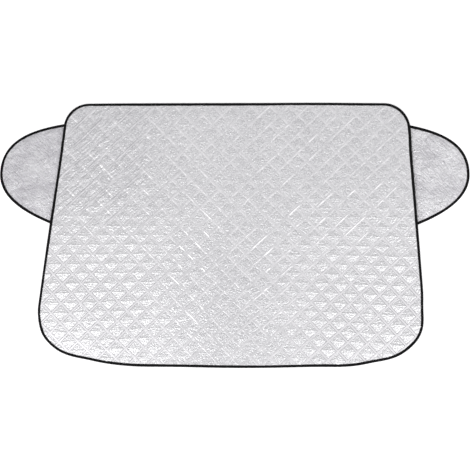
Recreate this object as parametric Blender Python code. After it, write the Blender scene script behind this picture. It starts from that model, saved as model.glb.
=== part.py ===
"""Quilted frost cover for a car windshield, laid out flat.

A reflective diamond-quilted panel is bound all round with folded black tape. A plain
tongue-shaped flap hangs off each side and is shut into the front doors in use. The
cover is one sewn piece with nothing that moves: the panel, its tape, the two flaps
and their tapes are separate bodies here, 0.3 mm apart where they are stitched.

Units are metres. +X runs across the car, +Y points up the glass, +Z is away from it.
The origin is on the ground under the middle of the cover.
"""
import math

import bmesh
import bpy
from mathutils import Vector

# Panel outline, measured at the cut edge of the quilt
PANEL_HEIGHT = 1.0092
TOP_HALF_WIDTH = 0.6534
LOW_HALF_WIDTH = 0.7344
LOW_POINT_HEIGHT = 0.2261
TOP_CROWN = 0.0016
TOP_CORNER_RADIUS = 0.0979
LOW_CORNER_RADIUS = 0.1909
HEM_ARC_RADIUS = 6.689

# Quilting
DIAMOND_WIDTH = 0.0733
DIAMOND_HEIGHT = 0.0715
QUILT_START_X = 0.0226
QUILT_START_Y = 0.0313
SEAM_THICKNESS = 0.002
FRONT_PUFF = 0.0048
BACK_PUFF = 0.0037
SHOULDER_WIDTH = 0.010
FOLD_DROP = 0.0010
REST_PAD_INSET = 0.009

# Binding tape
TAPE_WIDTH = 0.010
TAPE_THICKNESS = 0.0005
TAPE_NOSE = 0.0004
EDGE_BAND = 0.0035

# Door flaps
FLAP_THICKNESS = 0.001
FLAP_TOP_OFFSET = 0.0823
FLAP_ROOT = 0.3816
FLAP_LENGTH = 0.2154
FLAP_TIP_SHARE = 0.55
FLAP_TOP_ANGLE = math.radians(16.3)
FLAP_LOW_ANGLE = math.radians(16.0)
FLAP_TIP_TILT = math.radians(4.2)
FLAP_TOP_HANDLE = 0.133
FLAP_LOW_HANDLE = 0.093
FLAP_TIP_HANDLES = (0.119, 0.100)
FLAP_TUCK = 0.008

FIT_GAP = 0.0003

# Heights that follow from the sizes above
FLAP_TAPE_HEIGHT = FLAP_THICKNESS + 2 * (FIT_GAP + TAPE_THICKNESS)
FLAP_MID_Z = FLAP_TAPE_HEIGHT / 2
SEAM_LOW_Z = max(FLAP_TAPE_HEIGHT + 2 * FIT_GAP + TAPE_THICKNESS, BACK_PUFF)
SEAM_TOP_Z = SEAM_LOW_Z + SEAM_THICKNESS
PANEL_MID_Z = (SEAM_LOW_Z + SEAM_TOP_Z) / 2
TAPE_REACH = TAPE_WIDTH - TAPE_THICKNESS - FIT_GAP


def arc(centre, radius, start, end, steps):
    """Points of an arc from one angle to another, by the short way."""
    sweep = (end - start + math.pi) % (2 * math.pi) - math.pi
    points = []
    for i in range(steps + 1):
        a = start + sweep * i / steps
        points.append(centre + radius * Vector((math.cos(a), math.sin(a))))
    return points


def angle_of(vector):
    return math.atan2(vector.y, vector.x)


def side_line():
    """Upper and lower point of the slanting right side, and its unit directions."""
    top = Vector((TOP_HALF_WIDTH, PANEL_HEIGHT / 2 - TOP_CROWN))
    low = Vector((LOW_HALF_WIDTH, LOW_POINT_HEIGHT - PANEL_HEIGHT / 2))
    along = (low - top).normalized()
    outward = Vector((-along.y, along.x))
    return top, low, along, outward


def half_outline():
    """Right half of the panel's edge, from the middle of the hem to the top."""
    top, low, along, outward = side_line()
    hem = Vector((0, -PANEL_HEIGHT / 2))
    hem_centre = hem + Vector((0, HEM_ARC_RADIUS))

    # The low corner's arc touches the side line and the long arc of the hem
    start = low - outward * LOW_CORNER_RADIUS
    reach = HEM_ARC_RADIUS - LOW_CORNER_RADIUS
    offset = start - hem_centre
    b = offset.dot(along)
    shift = -b + math.sqrt(b * b - offset.length_squared + reach * reach)
    corner = start + along * shift
    hem_end = angle_of(corner - hem_centre)
    points = arc(hem_centre, HEM_ARC_RADIUS, -math.pi / 2, hem_end, 8)
    side_angle = angle_of(outward)
    points += arc(corner, LOW_CORNER_RADIUS, hem_end, side_angle, 12)[1:]

    # The top corner's arc touches the side line and the slightly crowned top edge
    crown = Vector((0, PANEL_HEIGHT / 2))
    edge = (crown - top).normalized()
    half_turn = edge.angle(along) / 2
    middle = (edge + along).normalized()
    centre = top + middle * TOP_CORNER_RADIUS / math.sin(half_turn)
    top_angle = angle_of(Vector((edge.y, -edge.x)))
    points += arc(centre, TOP_CORNER_RADIUS, side_angle, top_angle, 8)
    points.append(crown)
    return points


def panel_outline():
    """The whole edge, counter-clockwise from the middle of the hem."""
    right = half_outline()
    left = [Vector((-p.x, p.y)) for p in reversed(right[1:-1])]
    return right + left


def make_material(name, colour, roughness, metallic):
    material = bpy.data.materials.new(name)
    material.use_nodes = True
    shader = material.node_tree.nodes["Principled BSDF"]
    shader.inputs["Base Color"].default_value = (*colour, 1)
    shader.inputs["Roughness"].default_value = roughness
    shader.inputs["Metallic"].default_value = metallic
    return material


def make_quilted_panel(collection, material):
    """Cut the sheet along its stitch lines, then puff every diamond both ways."""
    bm = bmesh.new()
    corners = [bm.verts.new((p.x, p.y, SEAM_TOP_Z)) for p in panel_outline()]
    sheet = bm.faces.new(corners)
    bm.normal_update()
    bmesh.ops.inset_region(
        bm, faces=[sheet], thickness=TAPE_REACH + EDGE_BAND,
        use_boundary=True, use_even_offset=True,
    )

    # Stitch lines run both ways through the quilted field inside the flat edge band
    field = max(bm.faces, key=lambda f: f.calc_area())
    cells = {field}
    diagonal = Vector((DIAMOND_WIDTH, DIAMOND_HEIGHT))
    pitch = DIAMOND_WIDTH * DIAMOND_HEIGHT / diagonal.length
    lines = math.ceil((LOW_HALF_WIDTH + PANEL_HEIGHT) / pitch)
    start = Vector((QUILT_START_X, QUILT_START_Y, 0))
    for side in (1, -1):
        normal = Vector((DIAMOND_HEIGHT, side * DIAMOND_WIDTH, 0)).normalized()
        for i in range(-lines, lines + 1):
            geometry = set(cells)
            for face in cells:
                geometry.update(face.edges)
                geometry.update(face.verts)
            cut = bmesh.ops.bisect_plane(
                bm, geom=list(geometry), dist=0.0004,
                plane_co=start + normal * pitch * i, plane_no=normal,
            )
            cells = {g for g in cut["geom"] if isinstance(g, bmesh.types.BMFace)}

    # Give the sheet its sewn thickness
    made = bmesh.ops.extrude_face_region(bm, geom=bm.faces[:], use_keep_orig=True)
    low = [g for g in made["geom"] if isinstance(g, bmesh.types.BMVert)]
    bmesh.ops.translate(bm, verts=low, vec=(0, 0, SEAM_LOW_Z - SEAM_TOP_Z))
    bmesh.ops.recalc_face_normals(bm, faces=bm.faces)
    edge = {v for f in bm.faces if abs(f.normal.z) < 0.5 for v in f.verts}
    quilt = [f for f in bm.faces if abs(f.normal.z) > 0.5 and not edge & set(f.verts)]
    front = [f for f in quilt if f.normal.z > 0]
    back = [f for f in quilt if f.normal.z < 0]

    # Front: a sloping shoulder along the seams, and a soft fold across each full diamond
    for cell in front:
        reach = 2 * cell.calc_area() / cell.calc_perimeter()
        shoulder = min(SHOULDER_WIDTH, 0.45 * reach)
        puff = FRONT_PUFF * shoulder / SHOULDER_WIDTH
        bmesh.ops.inset_individual(bm, faces=[cell], thickness=shoulder, use_even_offset=True)
        for vert in cell.verts:
            vert.co.z += puff
        if len(cell.verts) == 4 and shoulder == SHOULDER_WIDTH:
            across = sorted(cell.verts, key=lambda v: v.co.x)
            if abs(across[0].co.y - across[3].co.y) < 0.01 * DIAMOND_HEIGHT:
                for vert in across[1:3]:
                    vert.co.z -= FOLD_DROP
                bmesh.utils.face_split(cell, across[0], across[3])

    # Back: shallow points, and one flat pad under the middle of the cover
    middle = min(back, key=lambda f: f.calc_center_median().xy.length)
    for cell in back:
        if cell is middle:
            continue
        reach = 2 * cell.calc_area() / cell.calc_perimeter()
        puff = BACK_PUFF * min(1, 0.45 * reach / SHOULDER_WIDTH)
        poked = bmesh.ops.poke(bm, faces=[cell], center_mode="MEAN_WEIGHTED")
        for vert in poked["verts"]:
            vert.co.z -= puff
    bmesh.ops.inset_individual(bm, faces=[middle], thickness=REST_PAD_INSET, use_even_offset=True)
    for vert in middle.verts:
        vert.co.z -= BACK_PUFF

    mesh = bpy.data.meshes.new("quilted_panel")
    bm.to_mesh(mesh)
    bm.free()
    panel = bpy.data.objects.new("quilted_panel", mesh)
    mesh.materials.append(material)
    collection.objects.link(panel)
    return panel


def make_tape_profile(name, sheet_thickness, guides):
    """Section of tape folded over a sheet's edge: a thick U that opens inwards."""
    inner = sheet_thickness / 2 + FIT_GAP
    outer = inner + TAPE_THICKNESS
    nose = FIT_GAP + TAPE_THICKNESS
    section = [
        (-TAPE_REACH, -outer), (nose - TAPE_NOSE, -outer), (nose, TAPE_NOSE - outer),
        (nose, outer - TAPE_NOSE), (nose - TAPE_NOSE, outer), (-TAPE_REACH, outer),
        (-TAPE_REACH, inner), (FIT_GAP, inner), (FIT_GAP, -inner), (-TAPE_REACH, -inner),
    ]
    curve = bpy.data.curves.new(name, "CURVE")
    curve.dimensions = "2D"
    curve.fill_mode = "NONE"
    spline = curve.splines.new("POLY")
    spline.points.add(len(section) - 1)
    for point, (u, v) in zip(spline.points, reversed(section)):
        point.co = (u, v, 0, 1)
    spline.use_cyclic_u = True
    profile = bpy.data.objects.new(name, curve)
    profile.hide_render = True
    profile.display_type = "WIRE"
    guides.objects.link(profile)
    return profile


def make_panel_binding(collection, material, profile):
    curve = bpy.data.curves.new("panel_binding", "CURVE")
    curve.dimensions = "3D"
    curve.twist_mode = "Z_UP"
    curve.bevel_mode = "OBJECT"
    curve.bevel_object = profile
    outline = panel_outline()
    spline = curve.splines.new("POLY")
    spline.points.add(len(outline) - 1)
    for point, corner in zip(spline.points, outline):
        point.co = (corner.x, corner.y, 0, 1)
    spline.use_cyclic_u = True
    binding = bpy.data.objects.new("panel_binding", curve)
    binding.location.z = PANEL_MID_Z
    curve.materials.append(material)
    collection.objects.link(binding)
    return binding


def flap_knots():
    """Bezier knots of the right flap's edge: point, incoming and outgoing handle."""
    top, low, along, outward = side_line()
    root_top = top + along * FLAP_TOP_OFFSET
    root_low = root_top + along * FLAP_ROOT
    tip = root_top + along * FLAP_ROOT * FLAP_TIP_SHARE + outward * FLAP_LENGTH
    leave = outward * math.cos(FLAP_TOP_ANGLE) + along * math.sin(FLAP_TOP_ANGLE)
    back = outward * math.cos(FLAP_LOW_ANGLE) - along * math.sin(FLAP_LOW_ANGLE)
    round_tip = along * math.cos(FLAP_TIP_TILT) - outward * math.sin(FLAP_TIP_TILT)
    tucked_top = root_top - leave * FLAP_TUCK / math.cos(FLAP_TOP_ANGLE)
    tucked_low = root_low - back * FLAP_TUCK / math.cos(FLAP_LOW_ANGLE)
    return [
        (tucked_top, tucked_top, tucked_top + leave * (FLAP_TOP_HANDLE + FLAP_TUCK)),
        (tip, tip - round_tip * FLAP_TIP_HANDLES[0], tip + round_tip * FLAP_TIP_HANDLES[1]),
        (tucked_low, tucked_low + back * (FLAP_LOW_HANDLE + FLAP_TUCK), tucked_low),
    ]


def add_flap_spline(curve, side, closed):
    """Draw the flap's edge, mirrored for the left, always with the flap on its left hand."""
    knots = [tuple(Vector((side * p.x, p.y)) for p in knot) for knot in flap_knots()]
    if side > 0:
        knots = [(p, after, before) for p, before, after in reversed(knots)]
    spline = curve.splines.new("BEZIER")
    spline.bezier_points.add(len(knots) - 1)
    for point, (p, before, after) in zip(spline.bezier_points, knots):
        point.handle_left_type = "FREE"
        point.handle_right_type = "FREE"
        point.co = (p.x, p.y, 0)
        point.handle_left = (before.x, before.y, 0)
        point.handle_right = (after.x, after.y, 0)
    spline.resolution_u = 14
    spline.use_cyclic_u = closed


def make_flap(name, side, collection, material):
    curve = bpy.data.curves.new(name, "CURVE")
    curve.dimensions = "2D"
    curve.fill_mode = "BOTH"
    curve.extrude = FLAP_THICKNESS / 2
    add_flap_spline(curve, side, True)
    flap = bpy.data.objects.new(name, curve)
    flap.location.z = FLAP_MID_Z
    curve.materials.append(material)
    collection.objects.link(flap)
    return flap


def make_flap_binding(name, side, collection, material, profile):
    curve = bpy.data.curves.new(name, "CURVE")
    curve.dimensions = "3D"
    curve.twist_mode = "Z_UP"
    curve.bevel_mode = "OBJECT"
    curve.bevel_object = profile
    curve.use_fill_caps = True
    add_flap_spline(curve, side, False)
    binding = bpy.data.objects.new(name, curve)
    binding.location.z = FLAP_MID_Z
    curve.materials.append(material)
    collection.objects.link(binding)
    return binding


def main():
    for old in list(bpy.data.objects):
        bpy.data.objects.remove(old, do_unlink=True)
    parts = bpy.data.collections.new("windshield_frost_cover")
    guides = bpy.data.collections.new("tape_sections")
    bpy.context.scene.collection.children.link(parts)
    bpy.context.scene.collection.children.link(guides)

    quilt_film = make_material("quilt_film", (0.68, 0.68, 0.69), 0.34, 0.85)
    flap_film = make_material("flap_film", (0.58, 0.57, 0.60), 0.42, 0.8)
    black_tape = make_material("black_tape", (0.012, 0.012, 0.013), 0.75, 0.0)
    panel_section = make_tape_profile("panel_tape_section", SEAM_THICKNESS, guides)
    flap_section = make_tape_profile("flap_tape_section", FLAP_THICKNESS, guides)

    make_quilted_panel(parts, quilt_film)
    make_panel_binding(parts, black_tape, panel_section)
    for name, side in (("left", -1), ("right", 1)):
        make_flap("flap_" + name, side, parts, flap_film)
        make_flap_binding("flap_binding_" + name, side, parts, black_tape, flap_section)


main()
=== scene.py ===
"""Quilted windshield frost cover on a plain white studio floor, seen from straight above."""

import math

import bmesh
import bpy
import numpy as np
from mathutils import Matrix, Vector


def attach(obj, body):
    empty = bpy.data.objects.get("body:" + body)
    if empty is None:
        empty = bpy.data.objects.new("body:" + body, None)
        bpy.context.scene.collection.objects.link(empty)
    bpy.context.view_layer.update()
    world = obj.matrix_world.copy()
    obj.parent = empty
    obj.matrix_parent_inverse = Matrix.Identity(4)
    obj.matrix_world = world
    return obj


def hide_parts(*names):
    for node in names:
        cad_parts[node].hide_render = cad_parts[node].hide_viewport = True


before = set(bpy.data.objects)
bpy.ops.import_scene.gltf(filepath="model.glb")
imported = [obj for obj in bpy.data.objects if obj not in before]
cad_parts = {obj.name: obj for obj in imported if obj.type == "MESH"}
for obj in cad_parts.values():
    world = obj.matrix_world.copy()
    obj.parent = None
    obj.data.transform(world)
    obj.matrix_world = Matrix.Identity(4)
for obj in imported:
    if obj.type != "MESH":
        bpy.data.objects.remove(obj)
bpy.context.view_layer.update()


# Sizes
MM = 0.001

# Outline of the panel at the cut edge of the quilt
PANEL_HEIGHT = 1.0092
TOP_HALF_WIDTH = 0.6534
LOW_HALF_WIDTH = 0.7344
LOW_POINT_HEIGHT = 0.2261
TOP_CROWN = 0.0016
TOP_CORNER_RADIUS = 0.0979
LOW_CORNER_RADIUS = 0.1909
HEM_ARC_RADIUS = 6.689

# Quilting: one crossing of the seams, the size of a diamond from point to point and the length of
# its side, how far each line of stitches runs from its seam's middle and how long its stitches
# are, and the seam's two faces
CROSSING = Vector((0.0593, 0.0670))
DIAMOND_WIDTH = 0.0733
DIAMOND_HEIGHT = 0.0715
SIDE = DIAMOND_WIDTH * DIAMOND_HEIGHT / math.hypot(DIAMOND_WIDTH, DIAMOND_HEIGHT)
STITCH_OFF = 4.3 * MM
QUILT_STITCH_PITCH = 4 * MM
SEAM_LOW = 3.7 * MM
SEAM_TOP = 5.7 * MM

# Folded tape
TAPE_REACH = 9.2 * MM
TAPE_NOSE = 0.9 * MM
TAPE_WALL = 0.5 * MM
TAPE_STEP = 6 * MM
PANEL_TAPE_LOW = 2.9 * MM
PANEL_TAPE_TOP = 6.5 * MM
FLAP_TAPE_LOW = 0.0
FLAP_TAPE_TOP = 2.6 * MM

# Stitches along the tape: the thread lies half in the cloth, and each one strays a little (radians)
STITCH_PITCH = 4.2 * MM
STITCH_LENGTH = 3.2 * MM
THREAD = 0.55 * MM
STITCH_INSET = 2.2 * MM
STITCH_RISE = 0.15 * MM
STRAY = 0.06

# Where the laid cover bulges out of its cut shape, or draws in: share of the way round the edge
# (the panel's from the middle of the hem, counter-clockwise, each flap's from its top), how far
# out in mm, and half the bulge's length as a share
PANEL_BULGES = [
    (0.100, 6.0, 0.022),
    (0.127, -6.5, 0.014),
    (0.167, 5.5, 0.013),
    (0.188, -5.0, 0.010),
    (0.280, 2.0, 0.080),
    (0.338, 3.5, 0.013),
    (0.430, 1.8, 0.040),
    (0.680, -4.0, 0.050),
    (0.835, 4.0, 0.010),
    (0.872, -8.0, 0.016),
    (0.917, 7.5, 0.030),
]
FLAP_BULGES = {
    -1: [(0.33, 4.5, 0.35)],
    1: [(0.50, -4.5, 0.30)],
}

# Door flaps
FLAP_TOP_OFFSET = 0.0823
FLAP_ROOT = 0.3816
FLAP_LENGTH = 0.2154
FLAP_TIP_SHARE = 0.55
FLAP_TOP_ANGLE = math.radians(16.3)
FLAP_LOW_ANGLE = math.radians(16.0)
FLAP_TIP_TILT = math.radians(4.2)
FLAP_TOP_HANDLE = 0.133
FLAP_LOW_HANDLE = 0.093
FLAP_TIP_HANDLES = (0.119, 0.100)
FLAP_TUCK = 0.008
FLAP_LOW = 0.8 * MM
FLAP_TOP = 1.8 * MM


# Light
PAPER_GLOW = 0.45
SOFTBOX_SIZE = 0.7
SOFTBOX_POWER = 4.5

# Camera, in metres and radians
CAMERA_AWAY = 14.774
CAMERA_LOOK = (0.0112, 0.0)
CAMERA_LENS_MM = 300
CAMERA_TILT = math.radians(12.245)
CAMERA_HEADING = math.radians(-45)
CAMERA_ROLL = math.radians(1.596)


# Node trees written as sums
class Number:
    """A socket that carries a number, so that sums on it can be written as sums."""

    def __init__(self, tree, socket):
        self.tree = tree
        self.socket = socket

    def sum(self, operation, *others):
        return self.tree.add("ShaderNodeMath", {"operation": operation}, [self, *others])

    def __add__(self, other):
        return self.sum("ADD", other)

    def __sub__(self, other):
        return self.sum("SUBTRACT", other)

    def __mul__(self, other):
        return self.sum("MULTIPLY", other)

    def __truediv__(self, other):
        return self.sum("DIVIDE", other)

    def __radd__(self, other):
        return self + other

    def __rmul__(self, other):
        return self * other

    def __rsub__(self, other):
        return self.tree.add("ShaderNodeMath", {"operation": "SUBTRACT"}, [other, self])

    def __neg__(self):
        return self * -1.0

    def __abs__(self):
        return self.sum("ABSOLUTE")

    def least(self, other):
        return self.sum("MINIMUM", other)

    def part(self):
        return self.sum("FRACT")

    def wave(self):
        return self.sum("SINE")

    def ramp(self, low, high):
        """0 below low and 1 above high, with soft ends."""
        return self.tree.add(
            "ShaderNodeMapRange", {"interpolation_type": "SMOOTHSTEP"},
            {"Value": self, "From Min": low, "From Max": high},
        )


class Nodes:
    """A node tree and short ways to add nodes to it."""

    def __init__(self, tree):
        self.tree = tree

    def add(self, kind, settings=None, inputs=None, output=0):
        """Add a node: its settings first, then values or links for its sockets."""
        node = self.tree.nodes.new(kind)
        for key, value in (settings or {}).items():
            setattr(node, key, value)
        pairs = inputs.items() if isinstance(inputs, dict) else enumerate(inputs or [])
        for key, value in pairs:
            if isinstance(value, Number):
                self.tree.links.new(value.socket, node.inputs[key])
            else:
                node.inputs[key].default_value = value
        return Number(self, node.outputs[output])

    def parts(self, vector):
        """The three numbers of a vector."""
        split = self.add("ShaderNodeSeparateXYZ", {}, [vector])
        return [Number(self, socket) for socket in split.socket.node.outputs]


class Finish(Nodes):
    """A material built on one Principled shader."""

    def __init__(self, name):
        self.material = bpy.data.materials.new(name)
        self.material.use_nodes = True
        super().__init__(self.material.node_tree)
        self.shader = self.tree.nodes["Principled BSDF"]
        self.output = self.tree.nodes["Material Output"]

    def place(self, turn=0.0, stretch=(1, 1, 1)):
        """Object coordinates in metres, turned in the sheet's plane and then stretched."""
        where = self.add("ShaderNodeTexCoord", output="Object")
        if turn:
            where = self.add("ShaderNodeMapping", {}, {"Vector": where, "Rotation": (0, 0, turn)})
        return self.add("ShaderNodeMapping", {}, {"Vector": where, "Scale": stretch})

    def noise(self, where, scale, detail=3.0, roughness=0.5, distortion=0.0):
        return self.add("ShaderNodeTexNoise", {"noise_dimensions": "3D"}, {
            "Vector": where, "Scale": scale, "Detail": detail,
            "Roughness": roughness, "Distortion": distortion,
        })

    def pattern(self, name):
        """The two coordinates of a piece's own map."""
        return self.parts(self.add("ShaderNodeUVMap", {"uv_map": name}))[:2]

    def colour_mix(self, factor, first, second):
        """The first colour at factor 0, the second at factor 1."""
        pair = [colour if isinstance(colour, Number) else (*colour, 1) for colour in (first, second)]
        return self.add(
            "ShaderNodeMix", {"data_type": "RGBA"}, {0: factor, 6: pair[0], 7: pair[1]}, output=2
        )

    def feed(self, name, value):
        """Set or link one of the Principled shader's sockets."""
        if isinstance(value, Number):
            self.tree.links.new(value.socket, self.shader.inputs[name])
        else:
            self.shader.inputs[name].default_value = value

    def relief(self, height):
        """Bump from a height in metres."""
        return self.add("ShaderNodeBump", {}, {"Strength": 1.0, "Distance": 1.0, "Height": height})


# Outlines
def arc(centre, radius, start, end, steps):
    """Points along an arc, the short way round from one bearing to the other."""
    sweep = (end - start + math.pi) % (2 * math.pi) - math.pi
    turns = [start + sweep * i / steps for i in range(steps + 1)]
    return [centre + radius * Vector((math.cos(a), math.sin(a))) for a in turns]


def angle_of(vector):
    """Bearing of a flat vector."""
    return math.atan2(vector.y, vector.x)


def side_line():
    """The panel's straight right edge: its ends, its run downwards and its outward side."""
    top = Vector((TOP_HALF_WIDTH, PANEL_HEIGHT / 2 - TOP_CROWN))
    low = Vector((LOW_HALF_WIDTH, LOW_POINT_HEIGHT - PANEL_HEIGHT / 2))
    along = (low - top).normalized()
    return top, low, along, Vector((-along.y, along.x))


def panel_edge():
    """The panel's edge, counter-clockwise from the middle of the hem, in fine steps."""
    top, low, along, outward = side_line()
    hem_centre = Vector((0, HEM_ARC_RADIUS - PANEL_HEIGHT / 2))
    start = low - outward * LOW_CORNER_RADIUS
    reach = HEM_ARC_RADIUS - LOW_CORNER_RADIUS
    offset = start - hem_centre
    b = offset.dot(along)
    corner = start + along * (-b + math.sqrt(b * b - offset.length_squared + reach * reach))
    hem_end = angle_of(corner - hem_centre)
    side_angle = angle_of(outward)
    right = arc(hem_centre, HEM_ARC_RADIUS, -math.pi / 2, hem_end, 60)
    right += arc(corner, LOW_CORNER_RADIUS, hem_end, side_angle, 40)[1:]
    crown = Vector((0, PANEL_HEIGHT / 2))
    edge = (crown - top).normalized()
    half_turn = edge.angle(along) / 2
    centre = top + (edge + along).normalized() * TOP_CORNER_RADIUS / math.sin(half_turn)
    top_angle = angle_of(Vector((edge.y, -edge.x)))
    right += arc(centre, TOP_CORNER_RADIUS, side_angle, top_angle, 30)
    right.append(crown)
    left = [Vector((-p.x, p.y)) for p in reversed(right[1:-1])]
    return laid(np.array([tuple(p) for p in right + left]), PANEL_BULGES, True)


def even_steps(points, step, closed):
    """Walk a line of points in even steps."""
    line = np.vstack([points, points[:1]]) if closed else points
    gone = np.r_[0, np.cumsum(np.linalg.norm(np.diff(line, axis=0), axis=1))]
    count = max(2, round(gone[-1] / step))
    marks = np.linspace(0, gone[-1], count + 1)
    if closed:
        marks = marks[:-1]
    return np.stack([np.interp(marks, gone, line[:, i]) for i in (0, 1)], 1)


def bulged(bulges, share, closed):
    """How far out the laid edge sits, in mm, at shares of the way along it."""
    total = np.zeros(len(share))
    for where, far, half in bulges:
        gap = abs(share - where)
        if closed:
            gap = np.minimum(gap, 1 - gap)
        total += far * np.exp(-(gap / half) ** 2)
    return total


def outward_of(path, closed):
    """Unit vectors in the sheet's plane, away from the side that the path goes round."""
    if closed:
        run = np.roll(path, -1, axis=0) - np.roll(path, 1, axis=0)
    else:
        run = np.gradient(path, axis=0)
    run /= np.linalg.norm(run, axis=1)[:, None]
    out = np.stack([run[:, 1], -run[:, 0]], 1)
    turned = ((path - path.mean(0)) * out).sum() < 0
    return -out if turned else out


def laid(path, bulges, closed):
    """The edge as the cloth lies, a few millimetres off its cut shape."""
    path = even_steps(path, 4 * MM, closed)
    share = np.arange(len(path)) / (len(path) if closed else len(path) - 1)
    return path + outward_of(path, closed) * bulged(bulges, share, closed)[:, None] * MM


def flap_edge(side):
    """The flap's free edge, from under the panel round the tip and back."""
    top, low, along, outward = side_line()
    root_top = top + along * FLAP_TOP_OFFSET
    root_low = root_top + along * FLAP_ROOT
    tip = root_top + along * FLAP_ROOT * FLAP_TIP_SHARE + outward * FLAP_LENGTH
    leave = outward * math.cos(FLAP_TOP_ANGLE) + along * math.sin(FLAP_TOP_ANGLE)
    back = outward * math.cos(FLAP_LOW_ANGLE) - along * math.sin(FLAP_LOW_ANGLE)
    round_tip = along * math.cos(FLAP_TIP_TILT) - outward * math.sin(FLAP_TIP_TILT)
    a = root_top - leave * FLAP_TUCK / math.cos(FLAP_TOP_ANGLE)
    b = root_low - back * FLAP_TUCK / math.cos(FLAP_LOW_ANGLE)
    spans = [
        (a, a + leave * (FLAP_TOP_HANDLE + FLAP_TUCK), tip - round_tip * FLAP_TIP_HANDLES[0], tip),
        (tip, tip + round_tip * FLAP_TIP_HANDLES[1], b + back * (FLAP_LOW_HANDLE + FLAP_TUCK), b),
    ]
    points = []
    for p0, p1, p2, p3 in spans:
        for t in (i / 60 for i in range(61)):
            s = 1 - t
            p = s**3 * p0 + 3 * s * s * t * p1 + 3 * s * t * t * p2 + t**3 * p3
            points.append((side * p.x, p.y))
    points = np.array(points)
    keep = np.r_[True, np.linalg.norm(np.diff(points, axis=0), axis=1) > 1e-6]
    return laid(points[keep], FLAP_BULGES[side], False)


def inside(points, outline):
    """Which points lie inside a closed outline."""
    x, y = points[:, 0], points[:, 1]
    hit = np.zeros(len(points), bool)
    for (x0, y0), (x1, y1) in zip(outline, np.roll(outline, -1, axis=0)):
        crosses = (y0 > y) != (y1 > y)
        if crosses.any():
            hit[crosses] ^= x[crosses] < (x1 - x0) * (y[crosses] - y0) / (y1 - y0) + x0
    return hit


def nearest_on(points, outline):
    """The nearest point of a closed outline to each point, and its distance."""
    best = np.full(len(points), 1e9)
    spot = np.zeros_like(points)
    for a, b in zip(outline, np.roll(outline, -1, axis=0)):
        d = b - a
        t = np.clip(((points - a) @ d) / (d @ d), 0, 1)
        q = a + t[:, None] * d
        r = np.linalg.norm(points - q, axis=1)
        closer = r < best
        best[closer] = r[closer]
        spot[closer] = q[closer]
    return spot, best


# Meshes
def make_piece(name, points, faces, finish):
    """A smooth mesh object with one finish."""
    mesh = bpy.data.meshes.new(name)
    mesh.from_pydata([tuple(p) for p in points], [], [tuple(f) for f in faces])
    mesh.materials.append(finish.material)
    mesh.shade_smooth()
    piece = bpy.data.objects.new(name, mesh)
    bpy.context.scene.collection.objects.link(piece)
    return piece


def smooth_step(x, low, high):
    """0 below low and 1 above high, with soft ends."""
    t = np.clip((x - low) / (high - low), 0, 1)
    return t * t * (3 - 2 * t)


def cell_noise(i, j, seed):
    """A steady random number from 0 to 1 for each diamond."""
    n = np.sin(i * 127.1 + j * 311.7 + seed * 74.7) * 43758.5453
    return n - np.floor(n)


def lie(x, y):
    """Height of the slight waves that the cover lies in."""
    return 0.9 * MM * (
        1.0 + 0.5 * np.sin(5.1 * x + 3.2 * y + 0.6) + 0.5 * np.sin(-3.7 * x + 6.3 * y + 2.1)
    )


def quilt_lattice(steps):
    """Grid lines along both families of seams, with one on each line of stitches."""
    strip = STITCH_OFF / SIDE
    stations = [0.0] + list(np.linspace(strip, 1 - strip, steps - 1))
    cells = np.arange(-20, 20)
    return (cells[:, None] + np.array(stations)[None]).ravel()


def lattice_to_sheet(a, b):
    """Place on the sheet of a point given in seam counts, with the cloth's own pull."""
    x = CROSSING.x + DIAMOND_WIDTH * (a + b) / 2
    y = CROSSING.y + DIAMOND_HEIGHT * (a - b) / 2
    drop = np.clip((CROSSING.y - y) / 0.3, 0, 1.5)
    u = x / 0.5
    x = x - 8 * MM * drop
    y = y + drop * (5 - 14 * u * u * (1 - 0.18 * u * u)) * MM
    return x, y


def seam_distance(a, b):
    """Distance from each point to the middle of the nearest seam of either family."""
    fa, fb = a - np.floor(a), b - np.floor(b)
    return np.minimum(fa, 1 - fa) * SIDE, np.minimum(fb, 1 - fb) * SIDE


def corner_pull(x, y):
    """How much the film is gathered: near the lower left, and near the lower right."""
    low = smooth_step(-y, -0.32, 0.16)
    return low * smooth_step(-x, 0.06, 0.46), low * smooth_step(x, 0.02, 0.44)


def strip_height(a, b):
    """The seam strips: a low cord of wadding between two sunk lines of stitches."""
    da, db = seam_distance(a, b)
    nearest = np.minimum(da, db)
    return np.where(nearest < 0.6 * STITCH_OFF, 0.25, -0.25) * MM


def ridge_shape(a, b):
    """1 along the level line through the middle of each diamond, 0 at its top and bottom."""
    i, j = np.floor(a), np.floor(b)
    level = ((a - i) - (b - j)) / 2
    swing = cell_noise(i, j, 2) - 0.5
    return 1 - np.abs(level + 0.06 * swing) / 0.5


def gathered(x, y):
    """Where each point of the film was before the seams drew it in."""
    marks = np.linspace(-0.8, 0.8, 161)
    low = smooth_step(-marks, -0.16, 0.26)
    low_sum = np.cumsum(low) * 0.01
    low_sum -= np.interp(0.0, marks, low_sum)
    right = smooth_step(marks, 0.02, 0.44)
    right_sum = np.cumsum(right) * 0.01
    sides = smooth_step(np.abs(x), 0.04, 0.45)
    far_y = y * 1.006 + 0.020 * sides * np.interp(y, marks, low_sum)
    far_x = x * 1.003 + 0.012 * np.interp(x, marks, right_sum) * smooth_step(-y, -0.16, 0.26)
    return far_x, far_y


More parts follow.
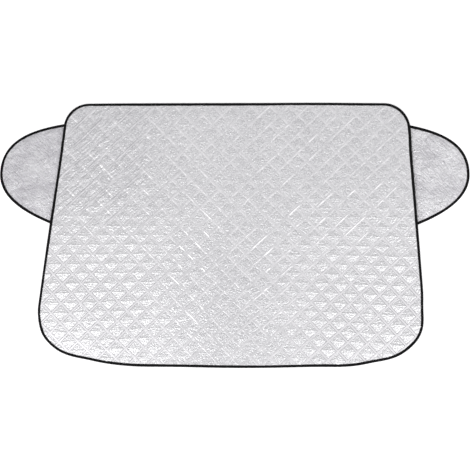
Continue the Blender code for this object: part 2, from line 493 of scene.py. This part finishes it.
def draw_in(points, quads, held):
    """Cloth simulation: the held seams draw the film in, and the wadding lifts it."""
    far_x, far_y = gathered(points[:, 0], points[:, 1])
    mesh = bpy.data.meshes.new("film")
    far = np.column_stack([far_x, far_y, points[:, 2]])
    mesh.from_pydata(far.tolist(), [], quads.tolist())
    film = bpy.data.objects.new("film", mesh)
    bpy.context.scene.collection.objects.link(film)
    film.vertex_groups.new(name="held").add([int(i) for i in np.nonzero(held)[0]], 1.0, "REPLACE")
    film.shape_key_add(name="cut")
    sewn = film.shape_key_add(name="sewn")
    sewn.data.foreach_set("co", points.ravel())
    for time, share in ((1, 0.0), (9, 1.0)):
        sewn.value = share
        sewn.keyframe_insert("value", frame=time)
    modifier = film.modifiers.new("Cloth", "CLOTH")
    cloth = modifier.settings
    cloth.vertex_group_mass = "held"
    cloth.quality = 5
    cloth.mass = 0.001
    cloth.air_damping = 0
    cloth.tension_stiffness = cloth.compression_stiffness = 15
    cloth.shear_stiffness = 7.5
    cloth.bending_stiffness = 1.0
    cloth.tension_damping = cloth.compression_damping = cloth.shear_damping = 5
    cloth.use_pressure = True
    cloth.uniform_pressure_force = 50
    cloth.effector_weights.gravity = 0
    modifier.collision_settings.use_collision = False
    modifier.point_cache.frame_start = 1
    modifier.point_cache.frame_end = 18
    for time in range(1, 19):
        bpy.context.scene.frame_set(time)
    solved = film.evaluated_get(bpy.context.evaluated_depsgraph_get()).data
    result = np.zeros(len(points) * 3)
    solved.vertices.foreach_get("co", result)
    bpy.context.scene.frame_set(1)
    bpy.data.objects.remove(film)
    bpy.data.meshes.remove(mesh)
    return result.reshape(-1, 3)


def calmed(heights, quads, held, share=0.5):
    """Each free point's height drawn towards its neighbours'."""
    total = np.zeros(len(heights))
    count = np.zeros(len(heights))
    for k in range(4):
        s, e = quads[:, k], quads[:, (k + 1) % 4]
        np.add.at(total, s, heights[e])
        np.add.at(total, e, heights[s])
        np.add.at(count, s, 1)
        np.add.at(count, e, 1)
    mean = total / np.maximum(count, 1)
    return np.where(held, heights, heights * (1 - share) + mean * share)


def border_of(quads):
    """The border of a sheet, as the edges that only one face has."""
    edges = {(s, e) for q in quads.tolist() for s, e in zip(q, q[1:] + q[:1])}
    return [(s, e) for s, e in edges if (e, s) not in edges]


def rim_faces(quads, below):
    """Faces that join a sheet's border to the same border on the sheet below."""
    return [(e, s, s + below, e + below) for s, e in sorted(border_of(quads))]


def border_loop(quads, flat):
    """The border's points in order, and their bearings from the middle."""
    after = dict(sorted(border_of(quads)))
    loop = [min(after, key=lambda i: abs(math.atan2(flat[i, 1], flat[i, 0])))]
    while after[loop[-1]] != loop[0]:
        loop.append(after[loop[-1]])
    loop.append(loop[0])
    bearing = np.unwrap(np.arctan2(flat[loop, 1], flat[loop, 0]))
    return loop, np.maximum.accumulate(bearing)


def join_borders(high, low):
    """Triangles between two borders that run side by side with different steps."""
    (top, top_at), (foot, foot_at) = high, low
    faces = []
    i = j = 0
    while i < len(top) - 1 or j < len(foot) - 1:
        top_next = top_at[i + 1] if i < len(top) - 1 else np.inf
        foot_next = foot_at[j + 1] if j < len(foot) - 1 else np.inf
        if top_next <= foot_next:
            faces.append((top[i + 1], top[i], foot[j]))
            i += 1
        else:
            faces.append((top[i], foot[j], foot[j + 1]))
            j += 1
    return faces


def cut_out(flat, quads, edge):
    """Keep the quads that reach inside the edge, and draw their outer corners in to it."""
    within = np.zeros(len(flat), bool)
    near = (np.abs(flat) < np.abs(edge).max(0) + 0.02).all(1)
    within[near] = inside(flat[near], edge)
    quads = quads[within[quads].any(1)]
    used = np.unique(quads)
    new = np.full(len(flat), -1)
    new[used] = np.arange(len(used))
    spot, gap = nearest_on(flat[used], edge)
    outer = ~within[used]
    flat = np.where(outer[:, None], spot, flat[used])
    gap[outer] = 0
    return flat, new[quads], used, gap


def quilt_sheet(steps, edge):
    """A flat sheet of quads that follow the seams, cut to the panel's edge."""
    grid = quilt_lattice(steps)
    count = len(grid)
    a, b = (v.ravel() for v in np.meshgrid(grid, grid, indexing="ij"))
    index = np.arange(count * count).reshape(count, count)
    quads = np.stack([index[:-1, :-1], index[:-1, 1:], index[1:, 1:], index[1:, :-1]], -1)
    flat = np.stack(lattice_to_sheet(a, b), 1)
    flat, quads, used, gap = cut_out(flat, quads.reshape(-1, 4), edge)
    return flat, quads, a[used], b[used], gap


def make_quilt(film, lining):
    """The quilted panel: drawn-in film in front, plain backing behind, joined at the edge."""
    edge = panel_edge()
    flat, quads, a, b, gap = quilt_sheet(12, edge)
    x, y = flat[:, 0], flat[:, 1]

    # The film is held along the seams, and where the tape clamps it
    da, db = seam_distance(a, b)
    held = (np.minimum(da, db) < 1.05 * STITCH_OFF) | (gap < TAPE_REACH)
    free = smooth_step(gap, TAPE_REACH - 1 * MM, TAPE_REACH + 9 * MM)
    rng = np.random.default_rng(4)
    ridge = (0.4 + 1.0 * sum(corner_pull(x, y))) * ridge_shape(a, b)
    start = np.where(held, strip_height(a, b), ridge * MM + rng.normal(0, 0.1 * MM, len(a)))
    film_points = draw_in(np.column_stack([flat, start * free]), quads, held)
    calm = calmed(film_points[:, 2], quads, held)
    pull = sum(corner_pull(x, y))
    rise = np.clip((np.minimum(da, db) - STITCH_OFF) / (SIDE / 2 - STITCH_OFF), 0, 1)
    i, j = np.floor(a), np.floor(b)
    fold = (0.5 + 1.2 * pull) * (0.5 + cell_noise(i, j, 1)) * rise
    lean = (cell_noise(i, j, 5) - 0.5) * (a - i - 0.5) + (cell_noise(i, j, 6) - 0.5) * (b - j - 0.5)
    fold += 1.5 * lean * np.minimum(3 * rise, 1)
    fuller = 0.16 + 0.10 * pull
    lifted = np.where(held, calm, calm * fuller + fold * MM)
    film_points[:, 2] = np.clip(lifted, -0.6 * MM, 4.6 * MM)
    film_points[:, :2][held] = flat[held]
    front = film_points + np.array([0, 0, SEAM_TOP])
    front[:, 2] += lie(x, y) * smooth_step(gap, TAPE_REACH, TAPE_REACH + 60 * MM)

    # The backing is a plainer sheet that sags between the seams
    low_flat, low_quads, low_a, low_b, low_gap = quilt_sheet(4, edge)
    low_free = smooth_step(low_gap, TAPE_REACH - 1 * MM, TAPE_REACH + 9 * MM)
    sag = (SEAM_LOW - 0.2 * MM) * low_free * back_puff(low_a, low_b)
    back = np.column_stack([low_flat, SEAM_LOW - sag])
    n = len(flat)
    points = np.vstack([front, back])
    joined = join_borders(
        border_loop(quads, flat),
        tuple(v if k else [i + n for i in v] for k, v in enumerate(border_loop(low_quads, low_flat))),
    )
    faces = quads.tolist() + joined + (low_quads[:, ::-1] + n).tolist()
    quilt = make_piece("quilt", points, faces, film)
    mesh = quilt.data
    mesh.materials.append(lining.material)
    under = np.zeros(len(mesh.polygons), np.int32)
    under[len(quads) + len(joined):] = 1
    mesh.polygons.foreach_set("material_index", under)
    corners = np.zeros(len(mesh.loops), np.int32)
    mesh.loops.foreach_get("vertex_index", corners)
    seams = mesh.uv_layers.new(name="seams")
    uv = np.stack([np.r_[a, low_a][corners], np.r_[b, low_b][corners]], 1)
    seams.data.foreach_set("uv", uv.ravel())
    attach(quilt, "root")
    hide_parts("quilted_panel")


def back_puff(a, b):
    """Share of the backing's sag, 0 on the seams and 1 in the middle of a diamond."""
    fa, fb = a - np.floor(a), b - np.floor(b)
    return (4 * fa * (1 - fa) * 4 * fb * (1 - fb)) ** 0.6


# Tape and stitches
def make_tape(name, path, closed, low, top, finish, node, seed=0):
    """Tape folded over an edge: a U of cloth swept along the path, a little uneven."""
    path = even_steps(path, TAPE_STEP, closed)
    count = len(path)
    out = outward_of(path, closed)
    gone = np.arange(count) * TAPE_STEP
    rng = np.random.default_rng(seed)
    sway = np.zeros(count)
    for wave in (0.9, 0.37, 0.16, 0.07):
        turns = max(1, round(gone[-1] / wave))
        sway += np.sin(2 * np.pi * turns * gone / gone[-1] + rng.uniform(0, 6.3)) * wave ** 0.4
    sway *= 0.35 * MM

    # Section from the lower leg's free edge round the nose to the upper leg's, and back inside
    middle = (low + top) / 2
    half = (top - low) / 2
    reach = TAPE_REACH
    outer = [(-reach, -half), (-reach * 0.6, -half), (-reach * 0.2, -half)]
    outer += [
        (TAPE_NOSE - half * 0.9 + half * 0.9 * math.sin(t), -half * math.cos(t))
        for t in np.linspace(0, math.pi, 9)
    ]
    outer += [(-reach * 0.2, half), (-reach * 0.6, half), (-reach, half)]
    inner_half = half - TAPE_WALL
    inner = [(-reach, inner_half), (-reach * 0.5, inner_half), (0, inner_half)]
    inner += [(TAPE_NOSE - TAPE_WALL, 0)]
    inner += [(0, -inner_half), (-reach * 0.5, -inner_half), (-reach, -inner_half)]
    section = outer + inner
    m = len(section)
    points = np.zeros((count, m, 3))
    for k, (u, v) in enumerate(section):
        inward = np.clip(-u / reach, 0, 1)
        shift = u - sway * inward
        points[:, k, :2] = path + out * shift[:, None]
        points[:, k, 2] = middle + v
    flat_points = points.reshape(-1, 3)
    faces = []
    rings = count if closed else count - 1
    for i in range(rings):
        j = (i + 1) % count
        for k in range(m):
            l = (k + 1) % m
            faces.append((i * m + k, j * m + k, j * m + l, i * m + l))
    if not closed:
        faces.append(tuple(reversed(range(m))))
        faces.append(tuple((count - 1) * m + k for k in range(m)))
    tape = make_piece(name, flat_points, faces, finish)
    mend_normals(tape)
    ring = np.repeat(gone, m)
    around = np.tile(np.linspace(0, 1, m), count)
    mesh = tape.data
    corners = np.zeros(len(mesh.loops), np.int32)
    mesh.loops.foreach_get("vertex_index", corners)
    layer = mesh.uv_layers.new(name="run")
    uv = np.stack([ring[corners] * 100, around[corners]], 1)
    layer.data.foreach_set("uv", uv.ravel())
    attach(tape, "root")
    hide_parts(node)
    seam = path + out * (-reach + STITCH_INSET - sway)[:, None]
    make_stitches(name + "_stitches", seam, closed, top + STITCH_RISE, finish, node)


def stitch_row():
    """Node tree that sews a line of points with short stitches, head to tail."""
    tree = bpy.data.node_groups.new("stitch_row", "GeometryNodeTree")
    face = tree.interface
    face.new_socket("Line", in_out="INPUT", socket_type="NodeSocketGeometry")
    for label, kind in (
        ("Pitch", "NodeSocketFloat"), ("Length", "NodeSocketFloat"), ("Thickness", "NodeSocketFloat"),
        ("Seed", "NodeSocketInt"), ("Thread", "NodeSocketMaterial"),
    ):
        face.new_socket(label, in_out="INPUT", socket_type=kind)
    face.new_socket("Stitches", in_out="OUTPUT", socket_type="NodeSocketGeometry")
    n = Nodes(tree)
    line, pitch, length, thickness, seed, thread = (
        Number(n, socket) for socket in tree.nodes.new("NodeGroupInput").outputs[:6]
    )
    curve = n.add("GeometryNodeMeshToCurve", {}, {"Mesh": line})
    spots = n.add("GeometryNodeResampleCurve", {"mode": "LENGTH"}, {"Curve": curve, "Length": pitch})
    stitch = n.add("GeometryNodeMeshUVSphere", {}, {"Segments": 6, "Rings": 4, "Radius": 0.5})
    along = n.add("GeometryNodeInputTangent")
    turn = n.add("FunctionNodeAlignRotationToVector", {"axis": "X"}, {"Vector": along})
    stray = n.add(
        "FunctionNodeRandomValue", {"data_type": "FLOAT"}, {2: -STRAY, 3: STRAY, "Seed": seed}, output=1
    )
    tilt = n.add("ShaderNodeCombineXYZ", {}, {"Z": stray})
    turn = n.add(
        "FunctionNodeRotateRotation", {"rotation_space": "LOCAL"}, {"Rotation": turn, "Rotate By": tilt}
    )
    size = n.add("ShaderNodeCombineXYZ", {}, {"X": length, "Y": thickness, "Z": thickness})
    placed = n.add("GeometryNodeInstanceOnPoints", {}, {
        "Points": spots, "Instance": stitch, "Rotation": turn, "Scale": size,
    })
    real = n.add("GeometryNodeRealizeInstances", {}, {"Geometry": placed})
    done = n.add("GeometryNodeSetMaterial", {}, {"Geometry": real, "Material": thread})
    tree.links.new(done.socket, tree.nodes.new("NodeGroupOutput").inputs[0])
    return tree


def make_stitches(name, seam, closed, height, finish, node):
    """A row of stitches along a seam."""
    tree = bpy.data.node_groups.get("stitch_row") or stitch_row()
    count = len(seam)
    edges = [(i, (i + 1) % count) for i in range(count if closed else count - 1)]
    mesh = bpy.data.meshes.new(name + "_line")
    mesh.from_pydata([(x, y, height) for x, y in seam.tolist()], edges, [])
    line = bpy.data.objects.new(name + "_line", mesh)
    bpy.context.scene.collection.objects.link(line)
    modifier = line.modifiers.new("stitches", "NODES")
    modifier.node_group = tree
    sizes = {
        "Pitch": STITCH_PITCH, "Length": STITCH_LENGTH, "Thickness": THREAD, "Seed": 3,
        "Thread": finish.material,
    }
    for socket in tree.interface.items_tree:
        if socket.in_out == "INPUT" and socket.name in sizes:
            modifier[socket.identifier] = sizes[socket.name]
    line.update_tag()
    depsgraph = bpy.context.evaluated_depsgraph_get()
    plain = bpy.data.meshes.new_from_object(line.evaluated_get(depsgraph))
    bpy.data.objects.remove(line)
    bpy.data.meshes.remove(mesh)
    plain.shade_smooth()
    stitches = bpy.data.objects.new(name, plain)
    bpy.context.scene.collection.objects.link(stitches)
    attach(stitches, "root")
    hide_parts(node)


def mend_normals(piece):
    """Turn every face of a closed piece outwards."""
    bm = bmesh.new()
    bm.from_mesh(piece.data)
    bmesh.ops.recalc_face_normals(bm, faces=bm.faces)
    bm.to_mesh(piece.data)
    bm.free()


# Flaps
def make_flap(name, side, finish, node):
    """A plain sheet with slight ripples, cut to the flap's outline."""
    edge = flap_edge(side)
    step = 4 * MM
    low, high = edge.min(0), edge.max(0)
    xs = np.arange(low[0] - step, high[0] + 2 * step, step)
    ys = np.arange(low[1] - step, high[1] + 2 * step, step)
    gx, gy = np.meshgrid(xs, ys, indexing="ij")
    flat = np.stack([gx.ravel(), gy.ravel()], 1)
    index = np.arange(len(flat)).reshape(gx.shape)
    quads = np.stack([index[:-1, :-1], index[1:, :-1], index[1:, 1:], index[:-1, 1:]], -1)
    flat, quads, used, gap = cut_out(flat, quads.reshape(-1, 4), edge)
    x, y = flat[:, 0], flat[:, 1]
    free = smooth_step(gap, TAPE_REACH, TAPE_REACH + 20 * MM)
    waves = np.sin(38 * x * side + 17 * y) * np.sin(11 * x * side - 29 * y + 1.0)
    ripple = 1.1 * MM * (1 + waves) * free
    n = len(flat)
    points = np.vstack([
        np.column_stack([flat, FLAP_TOP + ripple]), np.column_stack([flat, FLAP_LOW + ripple]),
    ])
    faces = quads.tolist() + (quads[:, ::-1] + n).tolist() + rim_faces(quads, n)
    flap = make_piece(name, points, faces, finish)
    span = np.linalg.norm(edge[0] - edge[-1])
    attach(flap, "root")
    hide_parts(node)


# Finishes
def film_finish():
    """Crinkled metallised film, stitched in diamonds with a double line of thread."""
    f = Finish("crinkled_film")
    a, b = f.pattern("seams")
    fa, fb = a.part(), b.part()
    da = fa.least(1 - fa) * (SIDE / MM)
    db = fb.least(1 - fb) * (SIDE / MM)
    nearest = da.least(db)
    off = STITCH_OFF / MM
    body = nearest.ramp(off, off + 2.5)

    # Parts of the cover: the gathered low corners, the two sides, the top, the upper left that was folded
    # hardest and is also painted darker as shade, and the middle of the hem, painted darker as shade; and
    # how worn the film is all over
    x, y, z = f.parts(f.place())
    gather = (-y).ramp(-0.16, 0.26) * abs(x).ramp(0.0, 0.45)
    sides = (-y).ramp(-0.32, 0.16) * abs(x).ramp(0.02, 0.45)
    far = y.ramp(-0.10, 0.30)
    folded_and_shaded = (-x).ramp(0.10, 0.50) * y.ramp(-0.12, 0.20)
    hem_shade = (-y).ramp(-0.10, 0.20) * abs(x).ramp(0.40, 0.05)
    worn = 0.62 + 0.05 * (-y).ramp(-0.20, 0.05) + 0.14 * gather

    # Each seam is a low cord between two lines of thread, pinched by every stitch
    across = (nearest / off).least(1.0)
    streak = f.noise(f.place(), 38.0, 2.0, 0.5).ramp(0.42, 0.62)
    cord = (1 - across * across) * (0.00010 + streak * 0.00032)
    pinch = abs(nearest - off).ramp(1.5, 0.2) * (0.00012 + gather * 0.00010)
    first = (db - da).ramp(-0.01, 0.01)
    run = (a + (b - a) * first) * (SIDE / QUILT_STITCH_PITCH)
    stitch = abs(run.part() - 0.5).ramp(0.44, 0.32)
    thread = abs(nearest - off).ramp(0.50, 0.15) * stitch * 0.00025

    # Some lengths of seam stand up and catch the light, of one family on each side
    dashes = f.noise(f.place(), 26.0, 2.0, 0.5, 0.2).ramp(0.50, 0.58)
    dashes = dashes * (1 - gather) * (1 - 0.45 * far) * y.ramp(-0.45, -0.15)
    lit = db + (da - db) * (-x).ramp(-0.12, 0.12)

    # Short level creases on each diamond, close together either side of its middle
    level = (fa - fb) * 0.5
    lines = f.noise(f.place(stretch=(0.18, 1.0, 1.0)), 140.0, 2.0, 0.5, 0.25)
    middle = abs(level - 0.03).ramp(0.30, 0.05)
    crest = abs(level - 0.02 + (lines - 0.5) * 0.12).ramp(0.06, 0.0) * sides

    # Fine crumpling all over, as folded film keeps it, with slanting streaks where it was folded
    grain = f.noise(f.place(), 170.0, 3.0, 0.6, 0.4)
    coarse = f.noise(f.place(), 75.0, 3.0, 0.6, 0.9)
    slant = f.noise(f.place(turn=math.radians(-44), stretch=(0.25, 1.0, 1.0)), 85.0, 2.0, 0.5, 0.3)
    cells = f.add(
        "ShaderNodeTexVoronoi", {"feature": "DISTANCE_TO_EDGE", "voronoi_dimensions": "3D"},
        {"Vector": f.place(), "Scale": 110.0, "Randomness": 1.0},
    )
    facets = cells.ramp(0.0, 0.28)
    height = (
        cord * (1 - 0.8 * gather) - pinch + thread + lit.ramp(3.2, 0.4) * dashes * 0.0009
        + crest * body * 0.0006
        + (grain - 0.5) * (0.0004 + body * 0.0022) * worn
        + (coarse - 0.5) * body * 0.0042 * worn
        + (facets - 0.8) * body * 0.00070 * worn
        + (lines - 0.5) * middle * body * 0.0034 * worn * (0.25 + 0.5 * sides)
        + (slant - 0.5) * 0.0046 * folded_and_shaded
    )
    f.feed("Normal", f.relief(height))

    # Random tone, with light and shade painted in: painted shade over the upper left and the hem's middle,
    # painted light on the sides, painted highlights on the cords and raised seams, painted shade in the
    # grooves and along slanting seams
    groove_shade = abs(nearest - off).ramp(1.5, 0.6)
    tone = f.noise(f.place(), 9.0, 2.0, 0.5)
    speck = f.noise(f.place(), 230.0, 2.0, 0.6).ramp(0.30, 0.70)
    # Painted shade over the upper left and the middle of the hem, painted light on the two sides; towards
    # the top the specks are stronger and the film between them darker, and the film is a little darker
    # towards the right
    tone_and_painted_light = (
        tone * 0.3 + speck * (0.7 + far * 0.25) - far * 0.10
        - folded_and_shaded * 0.24 - hem_shade * 0.16 + sides * 0.16 - x.ramp(-0.5, 0.5) * 0.08 + 0.04
    )
    base = f.colour_mix(tone_and_painted_light, (0.66, 0.66, 0.675), (0.95, 0.955, 0.955))
    # Painted highlight: the seam cords are mixed towards white, most in the gathered low corners
    cord_highlight = (1 - body) * (0.25 + streak * 0.45 + gather * 0.6)
    base = f.colour_mix(cord_highlight, base, (0.97, 0.965, 0.975))
    # Painted shade in the stitch grooves, strongest in the gathered low corners
    base = f.colour_mix(groove_shade * (0.05 + gather * 0.70), base, (0.34, 0.34, 0.36))
    # Painted highlight: the raised lengths of seam are mixed to white
    base = f.colour_mix(lit.ramp(2.8, 1.2) * dashes, base, (1.0, 1.0, 1.0))
    # Painted shadow: dark lines along the slanting seams of the upper left
    slant_shadow = f.noise(f.place(), 11.0, 2.0, 0.5, 0.1).ramp(0.42, 0.58) * folded_and_shaded
    base = f.colour_mix(abs(db - off).ramp(1.6, 0.8) * slant_shadow * 0.6, base, (0.34, 0.34, 0.36))
    f.feed("Base Color", base)
    f.feed("Metallic", 0.92)
    f.feed("Roughness", 0.24 + grain * 0.10 + 0.06 * sides)
    return f


def flap_finish():
    """Plain film with a fine grain and faint slanting streaks."""
    f = Finish("plain_film")
    x, y, z = f.parts(f.place())
    grain = f.noise(f.place(), 210.0, 3.0, 0.6, 0.3)
    streaks = f.noise(f.place(turn=math.radians(48), stretch=(0.22, 1.0, 1.0)), 150.0, 3.0, 0.6, 0.6)
    broad = f.noise(f.place(), 40.0, 4.0, 0.6, 0.8)
    f.feed("Normal", f.relief(grain * 0.0036 + streaks * 0.0045 + broad * 0.0060))
    tone = f.noise(f.place(), 14.0, 4.0, 0.65).ramp(0.30, 0.70)
    speck = f.noise(f.place(), 230.0, 2.0, 0.6).ramp(0.30, 0.70)
    f.feed("Base Color", f.colour_mix(
        tone * 0.55 + speck * 0.45 + x.ramp(-0.9, 0.9) * 0.2 - 0.07, (0.62, 0.61, 0.64), (0.95, 0.95, 0.96)
    ))
    f.feed("Metallic", 0.9)
    f.feed("Roughness", 0.30)
    return f


def lining_finish():
    """Pale non-woven backing."""
    f = Finish("backing_cloth")
    fibres = f.noise(f.place(), 900.0, 4.0, 0.7, 0.5)
    f.feed("Normal", f.relief(fibres * 0.0002))
    f.feed("Base Color", f.colour_mix(fibres, (0.62, 0.62, 0.63), (0.76, 0.76, 0.76)))
    f.feed("Roughness", 0.9)
    return f


def tape_finish():
    """Black woven tape."""
    f = Finish("woven_tape")
    run, around = f.pattern("run")
    weave = (run * 62.8).wave() * (around * 120.0).wave()
    fibres = f.noise(f.place(), 1500.0, 3.0, 0.6)
    f.feed("Normal", f.relief(weave * 0.00006 + fibres * 0.00008))
    f.feed("Base Color", f.colour_mix(fibres, (0.002, 0.002, 0.002), (0.009, 0.009, 0.010)))
    f.feed("Roughness", 0.85)
    f.feed("Specular IOR Level", 0.15)
    return f


# Floor, lights and camera
def make_floor():
    """White paper that the camera sees a little brighter than it lights the cover."""
    bpy.ops.mesh.primitive_plane_add(size=12, location=(0, 0, 0))
    floor = bpy.context.active_object
    floor.name = "floor"
    f = Finish("white_paper")
    f.feed("Base Color", (0.9, 0.9, 0.9, 1))
    f.feed("Roughness", 0.9)
    paper = Number(f, f.shader.outputs[0])
    camera_ray = f.add("ShaderNodeLightPath", output="Is Camera Ray")
    glow = f.add("ShaderNodeEmission", {}, {"Strength": PAPER_GLOW})
    both = f.add("ShaderNodeAddShader", {}, [paper, glow])
    choose = f.add("ShaderNodeMixShader", {}, [camera_ray, paper, both])
    f.tree.links.new(choose.socket, f.output.inputs[0])
    floor.data.materials.append(f.material)


def make_lights():
    """A pale tent that is a little brighter towards the hem, and a softbox over each low corner."""
    world = bpy.data.worlds.new("studio")
    bpy.context.scene.world = world
    world.use_nodes = True
    n = Nodes(world.node_tree)
    background = n.tree.nodes["Background"]
    x, y, z = n.parts(n.add("ShaderNodeTexCoord", output="Generated"))
    level = 0.61 + 0.10 * z.ramp(0.45, 0.98) + 0.30 * (-y).ramp(-0.12, 0.30)
    n.tree.links.new(level.socket, background.inputs[1])
    background.inputs[0].default_value = (0.99, 0.98, 1.0, 1)
    for name, spot in (("left_softbox", (-1.05, -0.85, 1.05)), ("right_softbox", (1.0, -0.85, 1.05))):
        lamp = bpy.data.lights.new(name, "AREA")
        lamp.shape = "RECTANGLE"
        lamp.size = lamp.size_y = SOFTBOX_SIZE
        lamp.energy = SOFTBOX_POWER
        holder = bpy.data.objects.new(name, lamp)
        holder.location = spot
        aim = Vector((0.45 * spot[0], -0.15, 0)) - Vector(spot)
        holder.visible_camera = False
        holder.rotation_euler = aim.to_track_quat("-Z", "Y").to_euler()
        bpy.context.scene.collection.objects.link(holder)


def make_camera():
    """A long lens above the cover, tilted a little towards its lower right."""
    level = Vector((math.cos(CAMERA_HEADING), math.sin(CAMERA_HEADING), 0))
    away = level * math.sin(CAMERA_TILT) + Vector((0, 0, math.cos(CAMERA_TILT)))
    right = Vector((0, 1, 0)).cross(away).normalized()
    up = away.cross(right)
    turned_right = right * math.cos(CAMERA_ROLL) + up * math.sin(CAMERA_ROLL)
    turned_up = up * math.cos(CAMERA_ROLL) - right * math.sin(CAMERA_ROLL)
    camera = bpy.data.objects.new("camera", bpy.data.cameras.new("camera"))
    camera.data.lens = CAMERA_LENS_MM
    camera.data.sensor_width = 36
    camera.data.clip_end = 60
    camera.data.clip_start = 0.5
    turn = Matrix((turned_right, turned_up, away)).transposed().to_4x4()
    camera.matrix_world = Matrix.Translation(Vector((*CAMERA_LOOK, 0)) + away * CAMERA_AWAY) @ turn
    bpy.context.scene.collection.objects.link(camera)
    bpy.context.scene.camera = camera


def main():
    bpy.context.scene.view_settings.view_transform = "Standard"
    film = film_finish()
    lining = lining_finish()
    flap_film = flap_finish()
    tape = tape_finish()
    make_quilt(film, lining)
    make_tape("panel_tape", panel_edge(), True, PANEL_TAPE_LOW, PANEL_TAPE_TOP, tape, "panel_binding")
    for name, side in (("left", -1), ("right", 1)):
        make_flap("flap_sheet_" + name, side, flap_film, "flap_" + name)
        make_tape(
            "flap_tape_" + name, flap_edge(side), False, FLAP_TAPE_LOW, FLAP_TAPE_TOP, tape,
            "flap_binding_" + name, seed=2 + side,
        )
    make_floor()
    make_lights()
    make_camera()


main()
